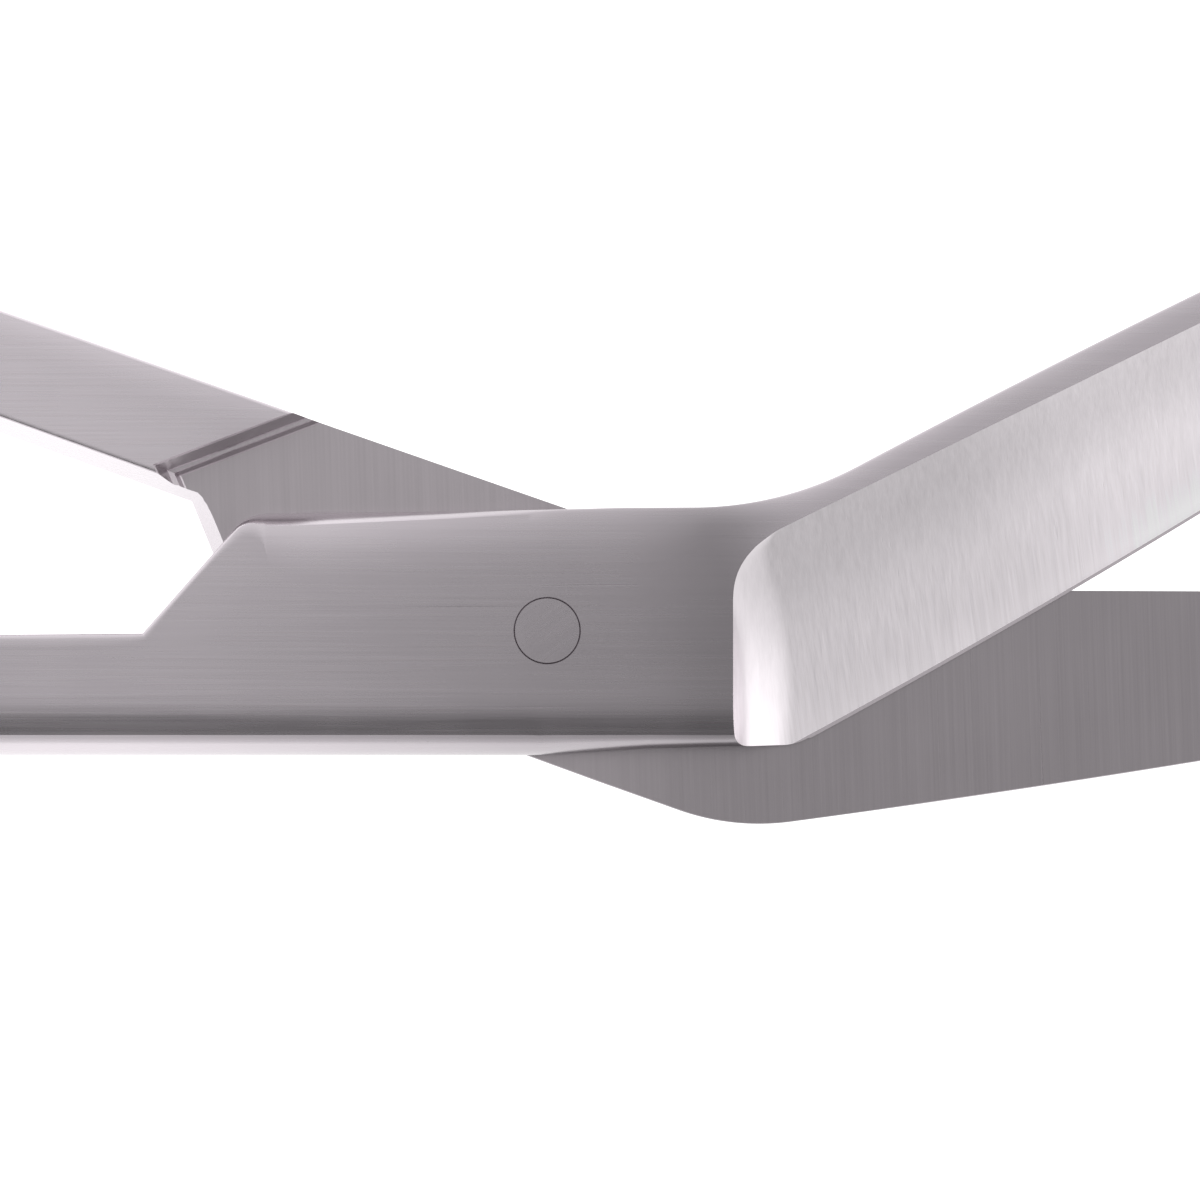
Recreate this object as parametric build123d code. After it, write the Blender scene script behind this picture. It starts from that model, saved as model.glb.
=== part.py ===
from build123d import *
from math import cos, radians, sin
import os

# Angled bandage scissors: two forged levers crossed at a flush rivet.
# Millimetres. The origin is on the rivet's axis, in the plane that the scissors lie on.
# +Z is the rivet's axis, and +X runs from the finger rings to the blades along the upper lever's shank.
# Each lever is drawn in its own plan, with its shank along -X. The upper lever's ring is on its -Y side
# and the lower lever's is on its +Y side. The lower lever is then turned to the rest opening.

# Thicknesses and levels
body_thickness = 4.6
lap_gap = 0.06
upper_lap_face = (body_thickness + lap_gap) / 2
lower_lap_face = (body_thickness - lap_gap) / 2

# Angle between the two shanks as modelled, partly open
rest_opening = 19.4

# Rivet, with a flush countersunk head at each end
rivet_radius = 1.3
rivet_top_radius = 1.5
rivet_top_height = 0.4
rivet_head_radius = 2.2
rivet_head_height = 0.9
running_clearance = 0.03

# Shank: distance of its outer and inner side from the lever's centre line
shank_outer = 5.6
shank_inner = 0.12
shank_outer_at_ring = 5.2
shank_inner_at_ring = 0.5
shank_end_x = -72.0
shank_middle = (-24.0, 2.8)

# Finger ring
ring_centre_x = -77.5
ring_inner_radius = 11.5
ring_width = 4.2
ring_touch = 1.4
ring_outer_radius = ring_inner_radius + ring_width
ring_centre_y = ring_outer_radius - ring_touch
ring_web_radius = 7.0
ring_neck_radius = 22.0

# Lap plate, and the step from the shank's full thickness down to it
step_inner = (-18.8, 1.13)
step_outer = (-13.4, shank_outer)
upper_notch_root_x = -18.4
upper_notch_corner = (-14.3, 4.9)
lower_notch_root_x = -17.4
lower_notch_corner = (-12.9, -4.9)
notch_corner_radius = 1.3

# Rounding of the outer faces' rims
rim_rounding = 0.8

# Upper blade
upper_heel = (11.5, -5.2)
upper_edge_angle = 28.4
upper_edge_radius = 400.0
upper_edge_sweep = 5.57
upper_bend_start = (6.6, 5.6)
upper_bend_radius = 16.0
upper_bend_angle = 28.0
upper_spine_radius = 500.0
upper_spine_sweep = 2.35
upper_tip_rounding = 1.2

# Lower blade, which ends in a neck and a flattened blunt probe
lower_edge_angle = 19.4
lower_edge_offset = 1.84
lower_edge_start = 10.5
lower_edge_length = 48.5
lower_heel_x = 10.2
lower_bend_start = (8.4, -5.76)
lower_bend_radius = 11.0
lower_bend_angle = 27.0
lower_spine_radius = 650.0
lower_spine_sweep = 1.65
lower_neck_radius = 90.0
lower_neck_sweep = 12.2
probe_radius = 2.6
probe_half_height = 1.3
probe_level = 1.65
probe_reach = 50.4
probe_offset = 0.0

# Hollow grind: a concave face from the spine band down to the cutting edge
edge_land = 0.25
edge_overrun = 1.4
upper_band_start = (12.99, 5.8)
upper_band_angle = 26.1
upper_chord_angle = 31.2
lower_band_start = (12.83, -3.5)
lower_band_angle = 27.9
hollow_depth = 0.32
hollow_start = -14.0
hollow_taper_start = 5.0
hollow_end = 52.0
hollow_clearance = 3.0
plunge_x = 8.3
plunge_radius = 3.0

# Thinning of each blade from its bend to its tip
taper_start = 17.0
taper_end = 57.0
taper_depth = 1.1
taper_half_width = 25.0


def heading(angle):
    """Unit vector in the plan, at an angle from +X."""
    return Vector(cos(radians(angle)), sin(radians(angle)))


def slab(face, bottom, top):
    """Solid between two levels over a plan face."""
    return extrude(Pos(0, 0, bottom) * face, amount=top - bottom)


def round_upright(solid, point, radius):
    """Round the upright edge of a solid that stands nearest to a point in the plan."""
    edges = solid.edges().filter_by(Axis.Z)
    return fillet(edges.sort_by_distance((point[0], point[1], body_thickness / 2))[0], radius)


def handle(notch_root_x, step_level):
    """Full-thickness shank and ring, with its rims rounded at the level that the step is cut from."""
    shank = Polygon(
        (notch_root_x, shank_inner),
        step_inner,
        step_outer,
        (shank_end_x, shank_outer_at_ring),
        (shank_end_x, shank_inner_at_ring),
        align=None,
    )
    ring_centre = Pos(ring_centre_x, ring_centre_y)
    solid = slab(shank + ring_centre * Circle(ring_outer_radius), 0, body_thickness)
    solid = round_upright(solid, (ring_centre_x + ring_outer_radius, shank_outer_at_ring), ring_web_radius)
    solid = round_upright(solid, (ring_centre_x + ring_inner_radius, 0), ring_neck_radius)
    solid -= slab(ring_centre * Circle(ring_inner_radius), 0, body_thickness)
    rims = solid.edges().filter_by_position(Axis.Z, step_level, step_level)
    return fillet(rims.filter_by(lambda edge: edge.center().X < shank_middle[0]), rim_rounding)


def upper_plate():
    """Plan of the upper lap plate and blade."""
    notch = FilletPolyline(
        (shank_middle[0], -shank_middle[1]),
        (upper_notch_root_x, -shank_inner),
        upper_notch_corner,
        upper_bend_start,
        radius=(0, notch_corner_radius),
    )
    bend = JernArc(notch @ 1, heading(0), upper_bend_radius, upper_bend_angle)
    spine = JernArc(bend @ 1, bend % 1, upper_spine_radius, -upper_spine_sweep)
    edge = JernArc(upper_heel, heading(upper_edge_angle), upper_edge_radius, upper_edge_sweep)
    tip = TangentArc(spine @ 1, edge @ 1, tangent=spine % 1)
    underside = Polyline(edge @ 0, (step_outer[0], -step_outer[1]), notch @ 0)
    return make_face([notch, bend, spine, tip, edge, underside])


def lower_plate():
    """Plan of the lower lap plate and blade, up to the probe's neck."""
    notch = FilletPolyline(
        shank_middle,
        (lower_notch_root_x, shank_inner),
        lower_notch_corner,
        lower_bend_start,
        radius=(0, notch_corner_radius),
    )
    bend = JernArc(notch @ 1, heading(0), lower_bend_radius, lower_bend_angle)
    spine = JernArc(bend @ 1, bend % 1, lower_spine_radius, lower_spine_sweep)
    neck = JernArc(spine @ 1, spine % 1, lower_neck_radius, lower_neck_sweep)
    edge_end = along_lower_edge(lower_edge_length, lower_edge_offset)
    top = Polyline(neck @ 1, edge_end, (lower_heel_x, shank_outer), step_outer, shank_middle)
    return make_face([notch, bend, spine, neck, top])


def along_lower_edge(distance, offset):
    """Plan point at a distance along the lower cutting edge and an offset across it."""
    return heading(lower_edge_angle) * distance + heading(lower_edge_angle + 90) * offset


def outline_rims(solid, level):
    """Edges of a lever's whole outline at the level of its outer face."""
    return solid.edges().filter_by_position(Axis.Z, level, level)


def hollow_section(distance, level, band, edge):
    """Upright section of the hollow-grind cutter, from the spine band across to past the edge."""
    spine_side = band[0] + heading(band[1]) * distance
    edge_side = edge[0] + heading(edge[1]) * distance
    across = (edge_side - spine_side).normalized()
    edge_side += across * edge_overrun
    edge_level = upper_lap_face + edge_land
    middle = (spine_side + edge_side) * 0.5
    floor = ThreePointArc(
        spine_side + Vector(0, 0, level),
        middle + Vector(0, 0, (level + edge_level) / 2 - hollow_depth),
        edge_side + Vector(0, 0, edge_level),
    )
    above = body_thickness + hollow_clearance
    lift = Vector(0, 0, above)
    walls = Polyline(floor @ 1, edge_side + lift, spine_side + lift, floor @ 0)
    return make_face([floor, walls])


def hollow_cutter(band, edge):
    """Solid that grinds a blade's outer face hollow, ending in a rounded plunge beside the lap plate."""
    tip_level = body_thickness - taper_depth
    stations = (
        (hollow_start, body_thickness),
        (hollow_taper_start, body_thickness),
        (hollow_end, tip_level),
    )
    sections = [hollow_section(distance, level, band, edge) for distance, level in stations]
    cutter = loft(sections, ruled=True)
    size = 4 * hollow_end
    cutter &= Pos(plunge_x + size / 2, 0, 0) * Box(size, size, size)
    wall = cutter.faces().sort_by(Axis.X)[0]
    foot = wall.edges().sort_by(Axis.Z)[0]
    return fillet(foot, plunge_radius)


def taper_cutter(angle):
    """Wedge that thins a blade's outer face towards the tip, along the given plan angle."""
    profile = Polygon(
        (taper_start, body_thickness),
        (taper_end, body_thickness - taper_depth),
        (taper_end, body_thickness + hollow_clearance),
        (taper_start, body_thickness + hollow_clearance),
        align=None,
    )
    wedge = extrude(Plane.XZ * profile, amount=taper_half_width, both=True)
    return Rot(0, 0, angle) * wedge


def turned_over(solid):
    """Mirror image of a solid about the middle of the joint's thickness."""
    return mirror(solid, about=Plane.XY.offset(body_thickness / 2))


def rivet_shape(clearance):
    """Rivet's shank and its two countersunk heads, grown sideways by a clearance."""
    profile = Polygon(
        (0, 0),
        (rivet_head_radius + clearance, 0),
        (rivet_radius + clearance, rivet_head_height),
        (rivet_radius + clearance, body_thickness - rivet_top_height),
        (rivet_top_radius + clearance, body_thickness),
        (0, body_thickness),
        align=None,
    )
    return revolve(Plane.XZ * profile, Axis.Z)


def probe():
    """Flattened blunt tip of the lower blade."""
    rim = EllipticalCenterArc((0, 0), probe_radius, probe_half_height, start_angle=-90, arc_size=180)
    half_section = make_face([rim, Line(rim @ 1, rim @ 0)])
    centre = along_lower_edge(probe_reach, probe_offset)
    return Pos(centre.X, centre.Y, probe_level) * revolve(Plane.XZ * half_section, Axis.Z)


def upper_lever():
    """Forging on the +Z side of the lap."""
    solid = mirror(handle(upper_notch_root_x, 0), about=Plane.XZ)
    plate = slab(upper_plate(), upper_lap_face, body_thickness)
    tip = plate.edges().filter_by(Axis.Z).sort_by(Axis.X)[-1].center()
    solid += round_upright(plate, (tip.X, tip.Y), upper_tip_rounding)
    solid = fillet(outline_rims(solid, body_thickness), rim_rounding)
    band = (Vector(*upper_band_start), upper_band_angle)
    solid -= hollow_cutter(band, (Vector(*upper_heel), upper_chord_angle))
    solid -= taper_cutter(upper_chord_angle)
    return solid - rivet_shape(0)


def lower_lever():
    """Forging on the -Z side of the lap, in its own plan."""
    solid = handle(lower_notch_root_x, body_thickness) + slab(lower_plate(), 0, lower_lap_face)
    solid = fillet(outline_rims(solid, 0), rim_rounding)
    heel = along_lower_edge(lower_edge_start, lower_edge_offset)
    band = (Vector(*lower_band_start), lower_band_angle)
    solid -= turned_over(hollow_cutter(band, (heel, lower_edge_angle)))
    solid -= turned_over(taper_cutter(lower_edge_angle))
    return solid + probe() - rivet_shape(running_clearance)


os.makedirs("parts", exist_ok=True)
export_step(upper_lever(), "parts/upper_lever.step")
export_step(Rot(0, 0, -rest_opening) * lower_lever(), "parts/lower_lever.step")
export_step(rivet_shape(0), "parts/pivot_rivet.step")
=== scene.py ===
from math import acos, atan2, cos, degrees, hypot, pi, radians, sin, sqrt, tan

import bpy
from mathutils import Matrix, Vector


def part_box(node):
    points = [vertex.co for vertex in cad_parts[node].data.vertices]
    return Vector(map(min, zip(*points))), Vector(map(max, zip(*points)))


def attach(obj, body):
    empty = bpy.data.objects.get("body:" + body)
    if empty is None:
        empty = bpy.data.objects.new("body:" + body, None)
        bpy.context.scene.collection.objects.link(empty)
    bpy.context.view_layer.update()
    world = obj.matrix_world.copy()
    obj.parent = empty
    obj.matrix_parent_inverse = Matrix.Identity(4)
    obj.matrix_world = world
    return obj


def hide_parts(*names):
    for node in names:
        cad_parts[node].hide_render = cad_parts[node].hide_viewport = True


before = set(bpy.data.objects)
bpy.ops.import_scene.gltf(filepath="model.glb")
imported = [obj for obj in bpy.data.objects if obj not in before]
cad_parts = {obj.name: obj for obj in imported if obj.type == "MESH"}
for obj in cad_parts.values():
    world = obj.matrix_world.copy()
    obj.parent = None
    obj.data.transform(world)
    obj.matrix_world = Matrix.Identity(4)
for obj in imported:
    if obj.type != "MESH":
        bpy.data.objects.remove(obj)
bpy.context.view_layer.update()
print("frame loaded")

# The pieces are modelled in millimetres and shrunk to metres when they are finished.
mm = 0.001
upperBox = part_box("upper_lever")
thickness = (upperBox[1][2] - upperBox[0][2]) / mm
lapFace = 2.33
restOpening = 19.4
# Distances below which points are joined, in millimetres while modelling and in metres at the end
weld = {"modelled": 0.00002, "finished": 0.0000005}


def deselectAll():
    if bpy.context.object and bpy.context.object.mode != "OBJECT":
        bpy.ops.object.mode_set(mode="OBJECT")
    bpy.ops.object.select_all(action="DESELECT")


def makeActive(piece):
    deselectAll()
    piece.select_set(True)
    bpy.context.view_layer.objects.active = piece


def mix(a, b, share):
    return a + (b - a) * share


# Closed solid from a stack of loops with the same number of points, capped at both ends.
def stackSolid(name, loops, slot=0):
    around, levels = len(loops[0]), len(loops)
    deselectAll()
    bpy.ops.mesh.primitive_grid_add(
        x_subdivisions=around, y_subdivisions=levels - 1, size=1, location=(0, 0, 0)
    )
    piece = bpy.context.object
    piece.name = piece.data.name = name
    spots = []
    for loop in loops:
        for point in list(loop) + [loop[0]]:
            spots.extend(point)
    piece.data.vertices.foreach_set("co", spots)
    bpy.ops.object.mode_set(mode="EDIT")
    bpy.ops.mesh.select_mode(type="VERT")
    bpy.ops.mesh.select_all(action="SELECT")
    bpy.ops.mesh.remove_doubles(threshold=weld["modelled"])
    bpy.ops.mesh.select_all(action="DESELECT")
    bpy.ops.mesh.select_non_manifold(extend=False, use_wire=False, use_multi_face=False,
                                     use_non_contiguous=False, use_verts=False)
    bpy.ops.mesh.fill_holes(sides=0)
    bpy.ops.mesh.select_all(action="SELECT")
    bpy.ops.mesh.normals_make_consistent(inside=False)
    bpy.ops.object.mode_set(mode="OBJECT")
    for face in piece.data.polygons:
        face.material_index = slot
    return piece


def giveSlots(piece, materials):
    piece.data.materials.clear()
    for material in materials:
        piece.data.materials.append(material)


def cut(piece, cutter, materials, operation="DIFFERENCE"):
    kept = [face.material_index for face in cutter.data.polygons]
    giveSlots(cutter, materials)
    cutter.data.polygons.foreach_set("material_index", kept)
    makeActive(cutter)
    bpy.ops.object.mode_set(mode="EDIT")
    bpy.ops.mesh.select_all(action="SELECT")
    bpy.ops.mesh.quads_convert_to_tris(ngon_method="BEAUTY")
    bpy.ops.object.mode_set(mode="OBJECT")
    makeActive(piece)
    tool = piece.modifiers.new("cut", "BOOLEAN")
    tool.operation = operation
    tool.solver = "EXACT"
    tool.object = cutter
    bpy.ops.object.modifier_apply(modifier=tool.name)
    bpy.data.objects.remove(cutter)


# Arc that leaves a point at a heading and turns left (sweep above 0) or right.
def bendFrom(start, heading, radius, sweep, steps):
    side = 1 if sweep > 0 else -1
    across = radians(heading)
    centre = (start[0] - side * radius * sin(across), start[1] + side * radius * cos(across))
    angles = [radians(heading + sweep * k / steps) for k in range(steps + 1)]
    return [(centre[0] + side * radius * sin(a), centre[1] - side * radius * cos(a)) for a in angles]


# Corner between two straight runs, rounded to a radius.
def roundCorner(before, corner, after, radius, steps):
    headingIn = atan2(corner[1] - before[1], corner[0] - before[0])
    headingOut = atan2(after[1] - corner[1], after[0] - corner[0])
    turn = (headingOut - headingIn + pi) % (2 * pi) - pi
    back = radius * tan(abs(turn) / 2)
    start = (corner[0] - back * cos(headingIn), corner[1] - back * sin(headingIn))
    return bendFrom(start, degrees(headingIn), radius, degrees(turn), steps)


def around(centre, radius, first, last, steps):
    angles = [radians(mix(first, last, k / steps)) for k in range(steps + 1)]
    return [(centre[0] + radius * cos(a), centre[1] + radius * sin(a)) for a in angles]


# Circle arc that leaves a point at a heading and ends at another point.
def tangentArc(start, heading, end, steps):
    chord = atan2(end[1] - start[1], end[0] - start[0])
    turn = 2 * ((chord - radians(heading) + pi) % (2 * pi) - pi)
    radius = hypot(end[0] - start[0], end[1] - start[1]) / (2 * abs(sin(turn / 2)))
    return bendFrom(start, heading, radius, degrees(turn), steps)


# Points along a polyline with no step longer than a length.
def resample(points, longest):
    spaced = [points[0]]
    for point in points[1:]:
        last = spaced[-1]
        gap = hypot(point[0] - last[0], point[1] - last[1])
        count = max(1, int(gap / longest + 0.999))
        for k in range(1, count + 1):
            spaced.append((mix(last[0], point[0], k / count), mix(last[1], point[1], k / count)))
    return spaced


# Number of steps in each part of a lever.
detail = {
    "fillet": 14, "ring": 110, "edge": 60, "bend": 24, "spine": 40, "neck": 30, "tip": 60, "tipCorner": 16,
    "heel": 12, "corner": 14, "flank": 12, "roll": 8, "bore": 96, "ringHole": 144, "ringRim": 12,
    "probe": 24, "probeRound": 64,
}
# Each lever is drawn with its outer face up and its ring on the -Y side.
handleShape = {
    "ringCentre": (-77.5, -14.3), "ringInner": 11.5, "ringOuter": 15.7, "webRadius": 7.0, "neckRadius": 22.0,
    "outerAtRing": -5.25, "innerAtRing": -0.45, "ringX": -72.0,
    "innerStart": -24.7, "innerDrop": 0.05, "outerStart": -24.6, "ringRim": (1.75, 2.0),
    "stepInner": (-18.8, -1.13), "stepOuter": (-13.4, -5.7),
    "stepProfile": (
        (0.0, -1.5), (0.0, -0.3), (-0.03, 0.0), (0.05, 0.1), (0.40, 1.78),
        (0.46, 1.84), (0.60, 1.88), (0.64, 1.92), (0.80, 2.28), (0.87, 2.33),
    ),
    "stepBack": 30.0, "stepBeyond": 5, "stepFar": 90.0, "rootGap": 0.2, "rootRise": 0.3,
}
# Rims: width and drop of the steep flank, then of the gentle roll inside it.
rims = {
    "outer": (0.95, 1.9, 1.95, 0.17), "plateTop": (0.16, 0.12, 2.6, 0.13), "notch": (0.1, 0.1, 0.12, 0.01),
    "spine": (0.1, 0.08, 1.2, 0.06), "edge": (0.02, 0.02, 0.02, 0.001), "ring": (1.75, 2.0, 0.3, 0.02),
    "inner": (0.14, 0.14, 0.5, 0.02), "tip": (0.1, 0.05, 0.3, 0.01), "corner": (0.1, 0.1, 0.9, 0.04),
    "heel": (0.95, 1.9, 1.95, 0.17),
}
# Narrow broken edge where a lap face meets the outline
lapRim = (0.09, 0.1, 0.001, 2.31)
lapRims = {
    "plateTop": lapRim, "spine": lapRim, "tip": lapRim, "heel": lapRim,
    "notch": rims["edge"], "corner": rims["edge"],
}
# How rims are rolled: flank angle, power of the roll, passes of blending and the limits of the near flank.
rolling = {"steepest": 72, "power": 3, "sharp": 8, "soft": 40, "sliverRun": 11, "leastFlank": 0.3}
# Thinning of a blade along its length
taper = {
    "start": 10.0, "end": 57.0, "depth": 1.25, "power": 1.3,
    "creases": (10.0, 12.0, 14.5, 17.5, 21.0, 25.0, 30.0, 36.0, 43.0, 50.0),
}
# Hollow grind: bevel at the cutting edge, rounded plunge, and the reach of the cut past each side.
ground = {
    "bevelWidth": 0.2, "bevelHeight": 0.2, "bevelSlope": 0.6, "bladeWidth": 11.0, "bevelFacing": 0.9,
    "plungeRadius": 3.0, "plungeSteps": 26, "plungePower": 2.6, "plungeSteepest": 0.96, "plungeExtra": 0.5,
    "leastRise": 0.02, "alongSteps": 60, "across": 40, "reach": 54.0, "above": 4,
    "pastBand": (-0.06, -0.03), "pastEdge": (1.0, 1.05, 1.12), "search": (-14.0, 40.0), "halvings": 40,
}
print("settings read")


def handleOutline(shape):
    h = handleShape
    centre, outerRing = h["ringCentre"], h["ringOuter"]
    innerLine = ((h["innerStart"], shape["root"][1] - h["innerDrop"]), (h["ringX"], h["innerAtRing"]))
    outerLine = ((h["ringX"], h["outerAtRing"]), (h["outerStart"], shape["outer"]))
    neck = filletToRing(innerLine[0], innerLine[1], centre, outerRing, h["neckRadius"])
    web = filletToRing(outerLine[1], outerLine[0], centre, outerRing, -h["webRadius"])
    neckCentre, neckPoint, neckAngle = neck
    webCentre, webPoint, webAngle = web
    neckEnd = (centre[0] + outerRing * cos(neckAngle), centre[1] + outerRing * sin(neckAngle))
    webEnd = (centre[0] + outerRing * cos(webAngle), centre[1] + outerRing * sin(webAngle))
    neckArc = arcBetween(neckCentre, neckPoint, neckEnd, detail["fillet"])
    webArc = arcBetween(webCentre, webEnd, webPoint, detail["fillet"])
    last = degrees(webAngle) % 360
    if last < degrees(neckAngle):
        last += 360
    ring = around(centre, outerRing, degrees(neckAngle), last, detail["ring"])
    return innerLine[0], neckArc, ring, webArc


# Circle that touches a straight line and a ring from outside. Gives its centre, its point on the line and its
# angle on the ring.
def filletToRing(start, end, centre, ringRadius, radius):
    length = hypot(end[0] - start[0], end[1] - start[1])
    ux, uy = (end[0] - start[0]) / length, (end[1] - start[1]) / length
    side = 1 if radius > 0 else -1
    nx, ny = uy * side, -ux * side
    qx, qy = start[0] + abs(radius) * nx - centre[0], start[1] + abs(radius) * ny - centre[1]
    b = qx * ux + qy * uy
    c = qx * qx + qy * qy - (ringRadius + abs(radius)) ** 2
    t = -b - sqrt(b * b - c)
    spot = (start[0] + t * ux + abs(radius) * nx, start[1] + t * uy + abs(radius) * ny)
    return spot, (start[0] + t * ux, start[1] + t * uy), atan2(spot[1] - centre[1], spot[0] - centre[0])


def arcBetween(centre, start, end, steps):
    first = atan2(start[1] - centre[1], start[0] - centre[0])
    last = atan2(end[1] - centre[1], end[0] - centre[0])
    turn = (last - first + pi) % (2 * pi) - pi
    radius = hypot(start[0] - centre[0], start[1] - centre[1])
    angles = [first + turn * k / steps for k in range(steps + 1)]
    return [(centre[0] + radius * cos(a), centre[1] + radius * sin(a)) for a in angles]


def leverOutline(shape):
    innerEnd, neckArc, ring, webArc = handleOutline(shape)
    edge = bendFrom(
        shape["edgeStart"], shape["edgeHeading"], shape["edgeRadius"], shape["edgeSweep"], detail["edge"]
    )
    bend = bendFrom(shape["bendStart"], 0, shape["bendRadius"], shape["bendAngle"], detail["bend"])
    spineHeading = shape["bendAngle"]
    spine = bendFrom(bend[-1], spineHeading, shape["spineRadius"], shape["spineSweep"], detail["spine"])
    endHeading = spineHeading + shape["spineSweep"]
    if "neckSweep" in shape:
        neck = bendFrom(spine[-1], endHeading, shape["neckBend"], shape["neckSweep"], detail["neck"])
        edge = [point for point in edge if hypot(point[0], point[1]) < shape["edgeReach"]]
        first = degrees(atan2(edge[-1][1] - shape["probe"][1], edge[-1][0] - shape["probe"][0]))
        last = degrees(atan2(neck[-1][1] - shape["probe"][1], neck[-1][0] - shape["probe"][0]))
        tip = around(shape["probe"], shape["probeOutline"], first % 360, last % 360 + 360, detail["tip"])
        spine = spine + neck[1:]
    else:
        tip = tangentArc(spine[-1], endHeading, edge[-1], detail["tip"])[::-1]
        corner = roundCorner(edge[-8], edge[-1], tip[5], shape["tipRadius"], detail["tipCorner"])
        reach = hypot(corner[0][0] - edge[-1][0], corner[0][1] - edge[-1][1])
        edge = [p for p in edge if hypot(p[0] - tip[0][0], p[1] - tip[0][1]) > reach]
        tip = corner + [p for p in tip if hypot(p[0] - tip[0][0], p[1] - tip[0][1]) > reach]
    heel = roundCorner(shape["outerRun"][-1], shape["heel"], edge[12], shape["heelRadius"], detail["heel"])
    edge = [p for p in edge if p[0] > heel[-1][0]]
    corner = roundCorner(
        shape["plateTop"][0], shape["corner"], shape["root"], shape["cornerRadius"], detail["corner"]
    )
    sections = [
        ("edge", heel[-1:] + edge),
        ("tip", tip),
        ("spine", spine[::-1] + bend[::-1]),
        ("plateTop", [shape["bendStart"]] + list(shape["plateTop"][::-1]) + corner[:1]),
        ("corner", corner),
        ("notch", [shape["root"]]),
        ("inner", [innerEnd] + neckArc),
        ("ring", ring),
        ("outer", webArc + [(handleShape["outerStart"], shape["outer"])] + list(shape["outerRun"])),
        ("heel", heel),
    ]
    outline = []
    for name, points in sections:
        spaced = resample(([outline[-1][:2]] if outline else []) + list(points), shape["spacing"])
        outline += [(point[0], point[1], name) for point in spaced]
    closest = shape["spacing"] * 0.2
    cleaned = [outline[0]]
    for point in outline[1:]:
        if hypot(point[0] - cleaned[-1][0], point[1] - cleaned[-1][1]) > closest:
            cleaned.append(point)
    if hypot(cleaned[0][0] - cleaned[-1][0], cleaned[0][1] - cleaned[-1][1]) < closest:
        cleaned.pop()
    return cleaned


# Rows of numbers round a closed outline, each blended with its neighbours.
def blended(rows, passes):
    for _ in range(passes):
        rows = [
            [(a + 2 * b + c) / 4 for a, b, c in zip(rows[k - 1], rows[k], rows[(k + 1) % len(rows)])]
            for k in range(len(rows))
        ]
    return rows


def leverBody(shape):
    outline = leverOutline(shape)
    count = len(outline)
    top = [list(shape["topRims"][name]) for _, _, name in outline]
    cornerXs = [x for x, _, name in outline if name == "corner"]
    for row, (x, _, name) in zip(top, outline):
        grown = 0.0
        if name == "plateTop" and x < 0:
            grown = min(-x / rolling["sliverRun"], 1.0)
        if name == "corner":
            grown = (x - cornerXs[-1]) / (cornerXs[0] - cornerXs[-1])
        row[0] += shape["sliver"][0] * grown
        row[1] += shape["sliver"][1] * grown
    for row, (x, y, name) in zip(top, outline):
        if name in ("outer", "heel") and x > shape["root"][0]:
            width = max(shape["flankTop"] - y, rolling["leastFlank"])
            row[0], row[1] = width, row[1] * width / row[0]
    flanks, rolls = blended(top, rolling["sharp"]), blended(top, rolling["soft"])
    top = [sharp[:2] + soft[2:] for sharp, soft in zip(flanks, rolls)]
    below = blended([list(shape["belowRims"][name]) for _, _, name in outline], rolling["sharp"])
    lean = blended([[shape["lean"].get(name, 0.0)] for _, _, name in outline], rolling["sharp"])
    inward = []
    for k in range(count):
        before, after = outline[k - 1], outline[(k + 1) % count]
        run = hypot(after[0] - before[0], after[1] - before[1])
        inward.append([-(after[1] - before[1]) / run, (after[0] - before[0]) / run])
    inward = blended(inward, 1)
    steepest = radians(rolling["steepest"])

    def level(part, share):
        loop = []
        for k in range(count):
            flank, flankDrop, roll, rollDrop = top[k] if part.startswith("top") else below[k]
            if part.endswith("Roll"):
                inset, drop = flank + roll * (1 - share), rollDrop * share ** rolling["power"]
            else:
                inset = flank * (1 - cos(share * steepest)) / (1 - cos(steepest))
                drop = rollDrop + flankDrop * (1 - sin(share * steepest) / sin(steepest))
            z = thickness - drop if part.startswith("top") else drop
            inset += lean[k][0] * (1 - z / thickness)
            loop.append((outline[k][0] + inward[k][0] * inset, outline[k][1] + inward[k][1] * inset, z))
        return loop

    flankSteps, rollSteps = detail["flank"], detail["roll"]
    loops = [level("belowRoll", k / rollSteps) for k in range(rollSteps)]
    loops += [level("belowFlank", 1 - k / flankSteps) for k in range(flankSteps + 1)]
    loops += [level("topFlank", k / flankSteps) for k in range(flankSteps + 1)]
    loops += [level("topRoll", 1 - k / rollSteps) for k in range(1, rollSteps + 1)]
    return stackSolid(shape["name"], loops)


def faceLevel(shape, x, y):
    along = x * cos(radians(shape["taperHeading"])) + y * sin(radians(shape["taperHeading"]))
    share = max(0.0, along - taper["start"]) / (taper["end"] - taper["start"])
    return thickness - taper["depth"] * share ** taper["power"]


def thinBlade(piece, shape):
    makeActive(piece)
    heading = radians(shape["taperHeading"])
    bpy.ops.object.mode_set(mode="EDIT")
    for along in taper["creases"]:
        bpy.ops.mesh.select_all(action="SELECT")
        spot = (along * cos(heading), along * sin(heading), 0)
        bpy.ops.mesh.bisect(plane_co=spot, plane_no=(cos(heading), sin(heading), 0))
    bpy.ops.object.mode_set(mode="OBJECT")
    for vertex in piece.data.vertices:
        if vertex.co.z > lapFace:
            share = (faceLevel(shape, vertex.co.x, vertex.co.y) - lapFace) / (thickness - lapFace)
            vertex.co.z = lapFace + (vertex.co.z - lapFace) * share


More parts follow.
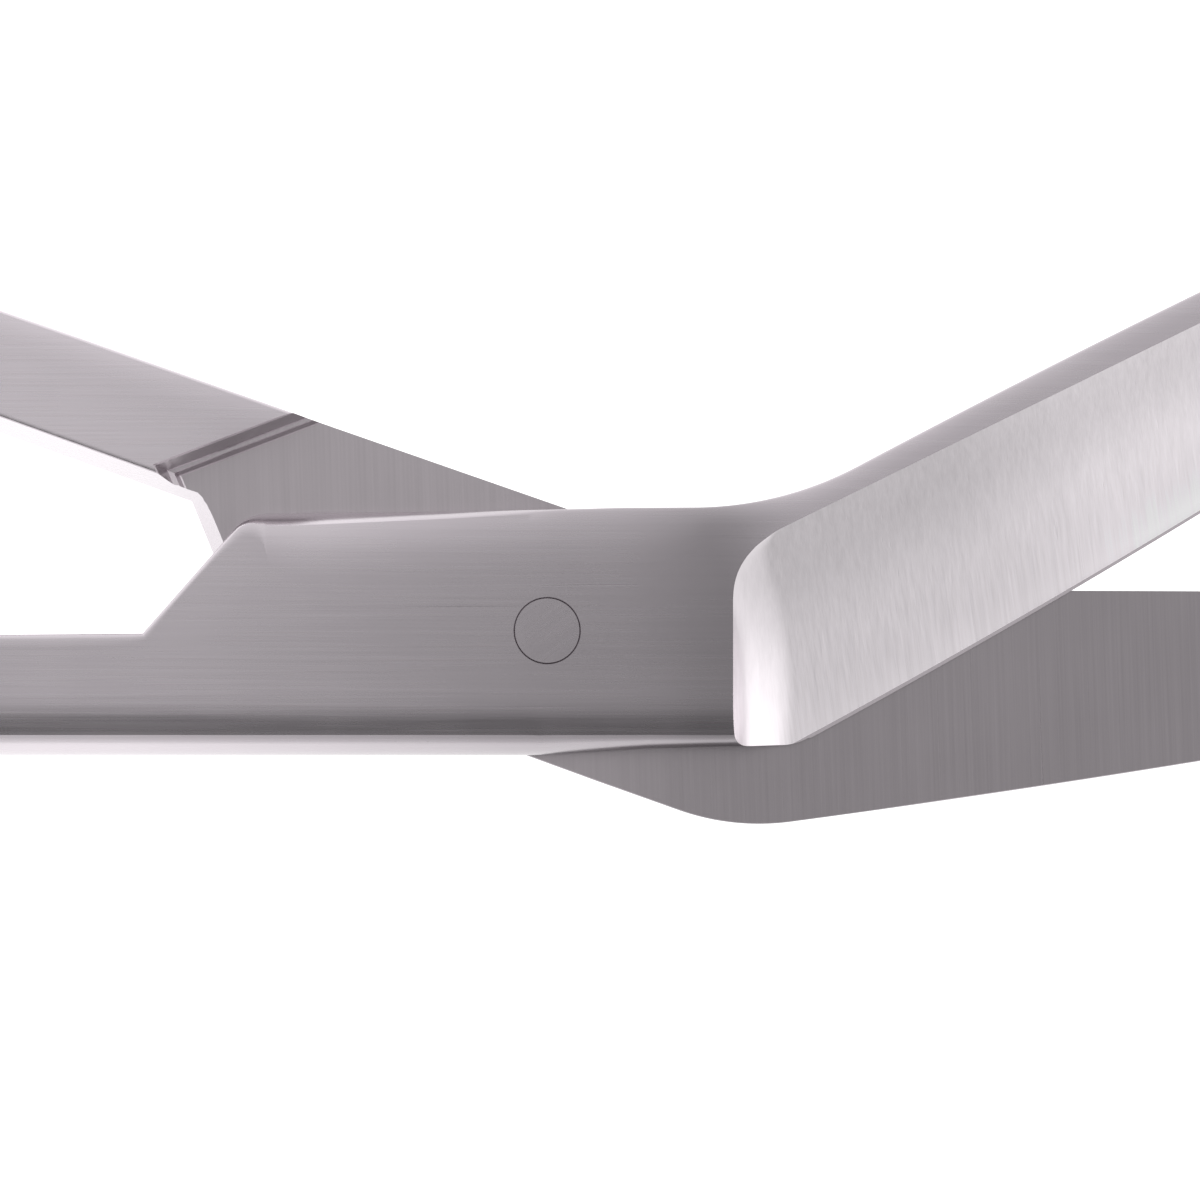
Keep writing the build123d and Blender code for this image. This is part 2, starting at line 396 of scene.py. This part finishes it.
def hollowCutter(shape):
    bandHeading = radians(shape["bandHeading"])
    edge = {
        "start": shape["edgeStart"], "heading": shape["edgeHeading"],
        "radius": shape["edgeRadius"], "sweep": shape["edgeSweep"],
    }

    def edgePoint(distance):
        if distance <= 0 or not edge["sweep"]:
            heading = radians(edge["heading"])
            return edge["start"][0] + distance * cos(heading), edge["start"][1] + distance * sin(heading)
        turned = degrees(distance / edge["radius"]) * (1 if edge["sweep"] > 0 else -1)
        return bendFrom(edge["start"], edge["heading"], edge["radius"], turned, 1)[1]

    def spot(distance, share):
        x = shape["band"][0] + distance * cos(bandHeading)
        y = shape["band"][1] + distance * sin(bandHeading)
        bandLevel = faceLevel(shape, x, y)
        ex, ey = edgePoint(distance)
        width = hypot(ex - x, ey - y)
        x, y = mix(x, ex, share), mix(y, ey, share)
        bevelShare = 1 - ground["bevelWidth"] / width
        inner = min(share, bevelShare) / bevelShare
        z = mix(bandLevel, lapFace + ground["bevelHeight"], inner) - shape["sag"] * 4 * inner * (1 - inner)
        z -= max(0.0, share - bevelShare) * width * ground["bevelSlope"]
        return x, y, z

    def wallX(y):
        share = min(max((y - shape["plungeTop"]) / shape["plungeHeight"], 0.0), 1.0)
        return shape["plungeX"] + shape["plungeWidth"] * share ** ground["plungePower"]

    across = ground["across"]
    bevelMiddle = 1 - ground["bevelWidth"] / ground["bladeWidth"]
    shares = [bevelMiddle * k / across for k in range(across + 1)]
    shares = list(ground["pastBand"]) + shares + list(ground["pastEdge"])
    loops = []
    for share in shares:
        low, high = ground["search"]
        for _ in range(ground["halvings"]):
            distance = (low + high) / 2
            x, y, _ = spot(distance, share)
            if x < wallX(y):
                low = distance
            else:
                high = distance
        x, y, floor = spot(distance, share)
        radius = ground["plungeRadius"]
        rise = max(thickness - floor, ground["leastRise"])
        forward = sqrt(max(radius ** 2 - (radius - rise) ** 2, 0.0))
        ahead = spot(distance + 1, share)
        pace = ahead[0] - x
        deepest = min(rise + ground["plungeExtra"], radius * ground["plungeSteepest"])
        steepest = acos((radius - deepest) / radius)
        points = []
        for k in range(ground["plungeSteps"]):
            angle = steepest * (1 - k / ground["plungeSteps"])
            shift = forward - radius * sin(angle)
            px, py, pz = spot(distance + shift / pace, share)
            points.append((px, py, pz + radius * (1 - cos(angle))))
        begin = distance + forward / pace
        for k in range(ground["alongSteps"] + 1):
            points.append(spot(mix(begin, ground["reach"], k / ground["alongSteps"]), share))
        end, start = points[-1], points[0]
        above = thickness + ground["above"]
        loops.append(points + [(end[0], end[1], above), (start[0], start[1], above)])
    cutter = stackSolid("hollowCutter", loops[::-1], 1)
    for face in cutter.data.polygons:
        low = face.center.z < lapFace + ground["bevelHeight"]
        if low and abs(face.normal.z) < ground["bevelFacing"]:
            face.material_index = 2
    return cutter


# Block that takes away the lower half of a lever beyond its step, with the step's sloped and ledged wall.
def lapCutter(shape):
    h = handleShape
    outward = (h["stepOuter"][0] - h["stepInner"][0], h["stepOuter"][1] - h["stepInner"][1])
    reach = h["stepBeyond"]
    beyond = (h["stepOuter"][0] + reach * outward[0], h["stepOuter"][1] + reach * outward[1])
    rootX = shape["root"][0] - h["rootGap"]
    root = (rootX, shape["root"][1] + h["rootRise"])
    stations = [(rootX, h["stepBack"]), root, h["stepInner"], h["stepOuter"], beyond]
    normals = []
    for start, end in zip(stations[:-1], stations[1:]):
        run = hypot(end[0] - start[0], end[1] - start[1])
        normals.append((-(end[1] - start[1]) / run, (end[0] - start[0]) / run))
    loops = []
    for k, station in enumerate(stations):
        before, after = normals[max(k - 1, 0)], normals[min(k, len(normals) - 1)]
        nx, ny = before[0] + after[0], before[1] + after[1]
        scale = 2 / (nx * nx + ny * ny)
        loop = []
        for across, z in h["stepProfile"]:
            shifted = across + shape["stepShift"]
            loop.append((station[0] + nx * scale * shifted, station[1] + ny * scale * shifted, z))
        loop += [(h["stepFar"], station[1], z) for z in (lapFace, h["stepProfile"][0][1])]
        loops.append(loop)
    return stackSolid("lapCutter", loops, 2)


def spunSolid(name, profile, centre, steps, slot):
    turns = [2 * pi * k / steps for k in range(steps)]
    loops = [[(centre[0] + r * cos(a), centre[1] + r * sin(a), z) for a in turns] for r, z in profile]
    return stackSolid(name, loops, slot)


def ringHoleCutter():
    radius = handleShape["ringInner"]
    rounding, drop = handleShape["ringRim"]
    count = detail["ringRim"]
    quarter = [radians(k * 90 / count) for k in range(count + 1)]
    profile = [(radius + rounding + 1, -0.6), (radius + rounding + 0.4, -0.02)]
    profile += [(radius + rounding * (1 - sin(a)), 0.0 + drop * (1 - cos(a))) for a in quarter]
    profile += [(radius + rounding * (1 - cos(a)), thickness - drop * (1 - sin(a))) for a in quarter]
    profile += [(radius + rounding + 0.4, thickness + 0.02), (radius + rounding + 1, thickness + 0.6)]
    return spunSolid("ringHole", profile, handleShape["ringCentre"], detail["ringHole"], 0)


def makeLever(shape, materials):
    piece = leverBody(shape)
    giveSlots(piece, materials)
    thinBlade(piece, shape)
    cut(piece, ringHoleCutter(), materials)
    cut(piece, lapCutter(shape), materials)
    cut(piece, hollowCutter(shape), materials)
    if "probe" in shape:
        cut(piece, probeBall(shape), materials, "UNION")
    cut(piece, spunSolid("bore", shape["bore"], (0, 0), detail["bore"], 0), materials)
    print(shape["name"], "cut to shape with", len(piece.data.polygons), "faces")
    return piece


def probeBall(shape):
    count = detail["probe"]
    angles = [radians(-90 + 180 * k / count) for k in range(count + 1)]
    radius, level, half = shape["probeRadius"], shape["probeLevel"], shape["probeHalf"]
    profile = [(max(radius * cos(a), 0.0), level + half * sin(a)) for a in angles]
    profile[0], profile[-1] = (0.0, profile[0][1]), (0.0, profile[-1][1])
    return spunSolid("probe", profile, shape["probe"], detail["probeRound"], 0)


# Shrinks a piece from millimetres, puts it in place and settles its shading.
def finishPiece(piece, place, node, body, crease):
    piece.data.transform(Matrix.Scale(mm, 4) @ place)
    makeActive(piece)
    bpy.ops.object.mode_set(mode="EDIT")
    bpy.ops.mesh.select_all(action="SELECT")
    bpy.ops.mesh.remove_doubles(threshold=weld["finished"])
    bpy.ops.mesh.normals_make_consistent(inside=False)
    bpy.ops.object.mode_set(mode="OBJECT")
    bpy.ops.object.shade_smooth_by_angle(angle=radians(crease))
    settle = piece.modifiers.new("settle", "WEIGHTED_NORMAL")
    settle.keep_sharp = True
    bpy.ops.object.modifier_apply(modifier=settle.name)
    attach(piece, body)
    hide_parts(node)
    print(node, "finished")


class Wire:
    def __init__(self, tree, socket):
        self.tree, self.socket = tree, socket

    def calc(self, operation, *others):
        return addNode(self.tree, "ShaderNodeMath", {"operation": operation}, [self, *others])

    def __add__(self, other):
        return self.calc("ADD", other)

    def __radd__(self, other):
        return self.calc("ADD", other)

    def __sub__(self, other):
        return self.calc("SUBTRACT", other)

    def __rsub__(self, other):
        return (self * -1) + other

    def __mul__(self, other):
        return self.calc("MULTIPLY", other)

    def __rmul__(self, other):
        return self.calc("MULTIPLY", other)

    # The same node's other output
    def output(self, key):
        return Wire(self.tree, self.socket.node.outputs[key])


# Adds a node: its settings first, then the values or wires of its sockets, by name or in order.
def addNode(tree, kind, settings, inputs, output=0):
    node = tree.nodes.new(kind)
    for name, value in settings.items():
        setattr(node, name, value)
    pairs = inputs.items() if isinstance(inputs, dict) else enumerate(inputs)
    for key, value in pairs:
        if isinstance(value, Wire):
            tree.links.new(value.socket, node.inputs[key])
        else:
            node.inputs[key].default_value = value
    return Wire(tree, node.outputs[output])


def rise(tree, value, low, high):
    return addNode(tree, "ShaderNodeMapRange", {"interpolation_type": "SMOOTHSTEP"},
                   {"Value": value, "From Min": low, "From Max": high, "To Min": 0.0, "To Max": 1.0})


# Fine lines, broader bands and rare scratches: lengths and widths as shares of a finish's own.
grain = {
    "roughness": 0.6, "detail": 2.0, "seeds": (3.1, 17.7, 41.3), "broad": (0.35, 0.22), "rare": (0.6, 0.8),
    "rareFrom": 0.66, "rareTo": 0.78, "rareRough": 0.05,
    "cloudScale": 160.0, "cloudDetail": 3.0, "cloudRough": 0.06,
}


# Brushed steel whose lines run along a finish's grain angle.
def steel(name, finish):
    material = bpy.data.materials.new(name)
    material.use_nodes = True
    tree = material.node_tree
    shader = tree.nodes["Principled BSDF"]
    place = addNode(tree, "ShaderNodeTexCoord", {}, {}, "Object")
    turn = (0, 0, radians(-finish["grain"]))
    turned = addNode(tree, "ShaderNodeMapping", {}, {"Vector": place, "Rotation": turn})
    split = addNode(tree, "ShaderNodeSeparateXYZ", {}, [turned])
    along, over, up = (split.output(k) for k in range(3))

    def lines(lengthScale, widthScale, seed):
        spread = [along * lengthScale + seed, over * widthScale, up * widthScale]
        stretched = addNode(tree, "ShaderNodeCombineXYZ", {}, spread)
        values = {
            "Vector": stretched, "Scale": 1.0, "Detail": grain["detail"], "Roughness": grain["roughness"],
        }
        return addNode(tree, "ShaderNodeTexNoise", {}, values, 0)

    seeds, broadShare, rareShare = grain["seeds"], grain["broad"], grain["rare"]
    fine = lines(finish["length"], finish["fineness"], seeds[0])
    broad = lines(finish["length"] * broadShare[0], finish["fineness"] * broadShare[1], seeds[1])
    clouds = {"Vector": place, "Scale": grain["cloudScale"], "Detail": grain["cloudDetail"]}
    cloud = addNode(tree, "ShaderNodeTexNoise", {}, clouds, 0)
    rareLines = lines(finish["length"] * rareShare[0], finish["fineness"] * rareShare[1], seeds[2])
    rare = rise(tree, rareLines, grain["rareFrom"], grain["rareTo"])
    tone = 1 + (fine - 0.5) * finish["lineTone"] + (broad - 0.5) * finish["broadTone"]
    tone = tone + (cloud - 0.5) * finish["cloudTone"]
    # Painted light and shade: the tone is multiplied by each painted factor of the finish.
    for spot in finish.get("paintedShading", ()):
        tone = tone * paintedLightAndShade(tree, place, spot)
    base = addNode(tree, "ShaderNodeVectorMath", {"operation": "SCALE"}, {0: finish["colour"], "Scale": tone})
    rough = finish["roughness"] + (fine - 0.5) * finish["lineRough"] + (cloud - 0.5) * grain["cloudRough"]
    rough = rough - rare * grain["rareRough"]
    height = fine * finish["lineHeight"] + broad * finish["broadHeight"] - rare * finish["scratchHeight"]
    bump = addNode(tree, "ShaderNodeBump", {}, {"Strength": 1.0, "Distance": 0.001, "Height": height})
    tree.links.new(base.socket, shader.inputs["Base Color"])
    tree.links.new(rough.socket, shader.inputs["Roughness"])
    tree.links.new(bump.socket, shader.inputs["Normal"])
    shader.inputs["Metallic"].default_value = 1.0
    return material


# Painted light and shade in the colour: a factor that goes from 1 to (1 - depth) along a direction in the plan,
# between two distances in millimetres. A depth above 0 paints shade and a depth below 0 paints light.
def paintedLightAndShade(tree, place, spot):
    heading, low, high, depth = spot
    reach = addNode(tree, "ShaderNodeVectorMath", {"operation": "DOT_PRODUCT"},
                    {0: place, 1: (cos(radians(heading)) / mm, sin(radians(heading)) / mm, 0)}, "Value")
    return 1 - rise(tree, reach, low, high) * depth


# Painted shade darkens the plate along X towards the blade; painted light brightens the band and the upper side.
plateFinish = {
    "colour": (0.593, 0.552, 0.581), "roughness": 0.27, "grain": 0, "length": 90.0, "fineness": 5200.0,
    "lineTone": 0.06, "broadTone": 0.06, "cloudTone": 0.09, "lineRough": 0.08,
    "lineHeight": 0.0022, "broadHeight": 0.003, "scratchHeight": 0.002,
    "paintedShading": ((0, -26.0, 12.0, 0.45), (0, 3.0, 9.0, 0.18), (28, 8.0, 13.5, -0.70), (90, -1.0, 6.0, -0.18)),
}
# Painted light brightens the hollow towards the cutting edge and further along the blade.
groundFinish = dict(
    plateFinish, colour=(0.550, 0.524, 0.539), roughness=0.34, grain=98, length=150.0, fineness=5200.0,
    lineTone=0.18, broadTone=0.10, lineHeight=0.005, broadHeight=0.005,
    paintedShading=((-61, 2.5, 9.5, -0.60), (29, 18.0, 28.0, -0.21)),
)
# Painted shade darkens the shear face along X towards the blade.
shearFinish = dict(
    plateFinish, colour=(0.470, 0.436, 0.457), roughness=0.33, grain=92, length=90.0, fineness=7500.0,
    lineTone=0.18, lineHeight=0.003, paintedShading=((0, -5.0, 10.0, 0.30),),
)
# The rivet keeps the plate's painted light and shade.
rivetFinish = dict(plateFinish, grain=35, length=400.0, fineness=5000.0)
plateSteel = steel("plateSteel", plateFinish)
groundSteel = steel("groundSteel", groundFinish)
shearSteel = steel("shearSteel", shearFinish)
rivetSteel = steel("rivetSteel", rivetFinish)
print("materials made")


leverMaterials = [plateSteel, groundSteel, shearSteel]
# Degrees above which an edge is shaded sharp
leverCrease = 11

upperShape = {
    "name": "upper_forging", "spacing": 0.3, "stepShift": 0.0,
    "root": (-18.4, -0.13), "corner": (-13.6, 5.3), "cornerRadius": 1.8,
    "plateTop": ((-10.8, 5.38), (-4.4, 5.42), (0.0, 5.5), (3.4, 5.59)),
    "bendStart": (6.6, 5.6), "bendRadius": 16.0, "bendAngle": 28.0,
    "spineRadius": 500.0, "spineSweep": -2.35, "tipRadius": 1.2,
    "outer": -5.7, "outerRun": ((-0.3, -5.7), (4.67, -5.38), (6.9, -5.32)),
    "heel": (11.35, -5.22), "heelRadius": 2.6,
    "edgeStart": (11.5, -5.2), "edgeHeading": 28.4, "edgeRadius": 400.0, "edgeSweep": 5.57,
    "band": (12.99, 5.8), "bandHeading": 26.1, "sag": 0.48, "taperHeading": 31.2,
    "plungeX": 8.45, "plungeTop": 1.2, "plungeHeight": 4.1, "plungeWidth": 3.3,
    "bore": ((1.31, -1.0), (1.31, 4.2), (1.5, 4.55), (1.535, 4.6), (1.55, 4.9)),
    "sliver": (0.42, 1.8), "flankTop": -4.75, "lean": {"inner": 0.1, "notch": 0.1},
    "topRims": rims,
    "belowRims": dict(rims, outer=(0.3, 0.4, 1.0, 0.08), inner=(0.3, 0.4, 0.5, 0.02), **lapRims),
}
upper = makeLever(upperShape, leverMaterials)
finishPiece(upper, Matrix.Identity(4), "upper_lever", "upper", leverCrease)

lowerShape = {
    "name": "lower_forging", "spacing": 0.3, "stepShift": -0.4,
    "root": (-17.4, -0.12), "corner": (-12.9, 4.95), "cornerRadius": 1.5,
    "plateTop": ((-10.6, 5.3), (-4.4, 5.6), (0.0, 5.7), (4.4, 5.75)),
    "bendStart": (8.4, 5.76), "bendRadius": 11.0, "bendAngle": -27.0,
    "spineRadius": 650.0, "spineSweep": -1.65, "neckBend": 90.0, "neckSweep": -12.2,
    "probe": (47.54, -16.74), "probeOutline": 2.5, "probeRadius": 2.6, "probeHalf": 1.3, "probeLevel": 2.95,
    "outer": -5.5, "outerRun": ((-13.0, -5.5), (4.0, -5.55), (8.0, -5.6)),
    "heel": (10.0, -5.6), "heelRadius": 2.0,
    "edgeStart": (9.29, -5.22), "edgeHeading": -19.4, "edgeRadius": 4000.0, "edgeSweep": 0.55,
    "edgeReach": 48.6,
    "band": (12.83, 3.5), "bandHeading": -27.9, "sag": 0.42, "taperHeading": -19.4,
    "plungeX": 8.45, "plungeTop": 0.2, "plungeHeight": 4.1, "plungeWidth": 3.3,
    "bore": ((1.34, -1.0), (1.34, 3.7), (2.24, 4.6), (2.6, 4.96)),
    "sliver": (0.0, 0.0), "flankTop": -4.75, "lean": {"inner": 0.72, "notch": 1.5, "corner": 0.3},
    "topRims": rims,
    "belowRims": dict(rims, outer=(0.12, 0.12, 1.6, 0.04), inner=(0.06, 0.06, 0.2, 0.01), **lapRims),
}
lower = makeLever(lowerShape, leverMaterials)
turnOver = Matrix.Translation((0, 0, thickness)) @ Matrix.Rotation(pi, 4, "X")
turned = Matrix.Rotation(radians(-restOpening), 4, "Z")
finishPiece(lower, turned @ turnOver, "lower_lever", "lower", leverCrease)

rivetShape = {
    "steps": 96, "crease": 20,
    "profile": (
        (0.0, 0.0), (2.13, 0.0), (2.19, 0.06), (1.3, 0.9),
        (1.3, 4.2), (1.49, 4.55), (1.46, 4.6), (0.0, 4.6),
    ),
}
rivet = spunSolid("rivet_pin", rivetShape["profile"], (0, 0), rivetShape["steps"], 0)
giveSlots(rivet, [rivetSteel])
finishPiece(rivet, Matrix.Identity(4), "pivot_rivet", "upper", rivetShape["crease"])


paperShape = {"size": 6, "level": -0.0002, "tone": 0.35, "roughness": 0.9, "glow": 1.08}
deselectAll()
bpy.ops.mesh.primitive_plane_add(size=paperShape["size"], location=(0, 0, paperShape["level"]))
floor = bpy.context.object
floor.name = "floor"
paper = bpy.data.materials.new("paper")
paper.use_nodes = True
paperShader = paper.node_tree.nodes["Principled BSDF"]
paperShader.inputs["Base Color"].default_value = (paperShape["tone"],) * 3 + (1,)
paperShader.inputs["Roughness"].default_value = paperShape["roughness"]
paperShader.inputs["Emission Color"].default_value = (1, 1, 1, 1)
paperShader.inputs["Emission Strength"].default_value = paperShape["glow"]
floor.data.materials.append(paper)

# Soft lights: direction, cosines where each begins and is full, and its strength.
studio = {
    "base": 0.50, "gain": 1.35, "colour": (1.0, 0.99, 1.0, 1),
    "lights": (
        ((1, 0, 0), 0.34, 0.50, 0.40), ((0.20, -0.36, 0.91), 0.955, 0.995, 0.25),
        ((0, 1, 0), 0.02, 0.4, 0.28), ((-1, 0, 0), 0.0, 0.35, 0.15),
    ),
    "dark": ((-0.15, -0.36, 0.93), 0.93, 0.99, 0.95), "horizon": ((0, 0, 1), 0.10, 0.62, 0.22),
}
world = bpy.data.worlds.new("studio")
bpy.context.scene.world = world
world.use_nodes = True
sky = world.node_tree
direction = addNode(sky, "ShaderNodeTexCoord", {}, {}, "Generated")


def toward(vector, low, high):
    unit = Vector(vector).normalized()
    vectors = {0: direction, 1: unit}
    facing = addNode(sky, "ShaderNodeVectorMath", {"operation": "DOT_PRODUCT"}, vectors, "Value")
    return rise(sky, facing, low, high)


light = studio["base"]
for heading, start, full, amount in studio["lights"]:
    light = light + toward(heading, start, full) * amount
heading, start, full, amount = studio["dark"]
light = light * (1 - toward(heading, start, full) * amount)
heading, start, full, amount = studio["horizon"]
light = (light + (1 - toward(heading, start, full)) * amount) * studio["gain"]
sky.nodes["Background"].inputs["Color"].default_value = studio["colour"]
sky.links.new(light.socket, sky.nodes["Background"].inputs["Strength"])

# Straight above the joint. Millimetres from the origin, of the field's width and above the upper face.
view = {"centre": (2.4, 1.39), "field": 54.545, "distance": 420.0, "near": 0.01}
camera = bpy.data.objects.new("camera", bpy.data.cameras.new("camera"))
bpy.context.scene.collection.objects.link(camera)
camera.location = (view["centre"][0] * mm, view["centre"][1] * mm, (view["distance"] + thickness) * mm)
camera.data.sensor_fit = "HORIZONTAL"
camera.data.angle = 2 * atan2(view["field"] / 2, view["distance"])
camera.data.clip_start = view["near"]
bpy.context.scene.camera = camera
bpy.context.scene.view_settings.view_transform = "Standard"
print("floor, light and camera set")
